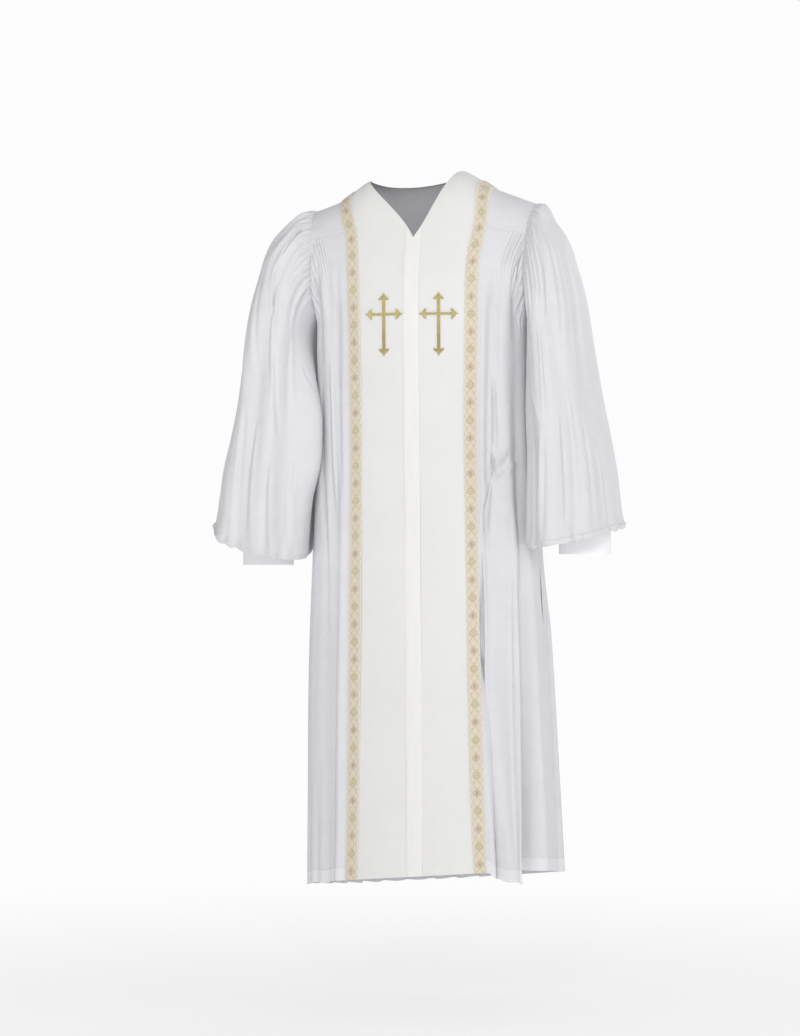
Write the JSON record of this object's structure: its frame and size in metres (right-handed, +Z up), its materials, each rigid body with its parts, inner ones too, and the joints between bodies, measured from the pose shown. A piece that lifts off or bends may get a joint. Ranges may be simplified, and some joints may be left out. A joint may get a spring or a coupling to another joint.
{
  "type": "pulpit robe",
  "caption": "Long white pulpit robe with fluted sides and back, smooth centre front, patterned bands, raised gold crosses and full sleeves gathered into cuffs.",
  "frame": {"origin": "between the shoulders, where the robe is held, at the middle of the neck's breadth and of the side seams", "axes": "+Z up, the front of the robe towards -Y, the robe's own left towards +X"},
  "size_m": [0.7979, 0.3869, 1.3666],
  "materials": {
    "cloth": "white polyester gown cloth, matte with a slight sheen",
    "centre": "warm white, firmly interfaced, matte",
    "brocade": "woven ivory and pale gold brocade, soft sheen",
    "goldThread": "gold satin-stitch embroidery"
  },
  "bodies": {
    "root": {"front_panel_right": "centre", "front_panel_left": "centre", "fly_placket": "centre", "band_right": "brocade", "band_left": "brocade", "cross_right": "goldThread", "cross_left": "goldThread", "yoke_front_right": "cloth", "yoke_front_left": "cloth", "yoke_back": "cloth", "side_front_right": "cloth", "side_front_left": "cloth", "back": "cloth", "sleeve_right": "cloth", "sleeve_left": "cloth", "cuff_right": "cloth", "cuff_left": "cloth"}
  },
  "joints": []
}
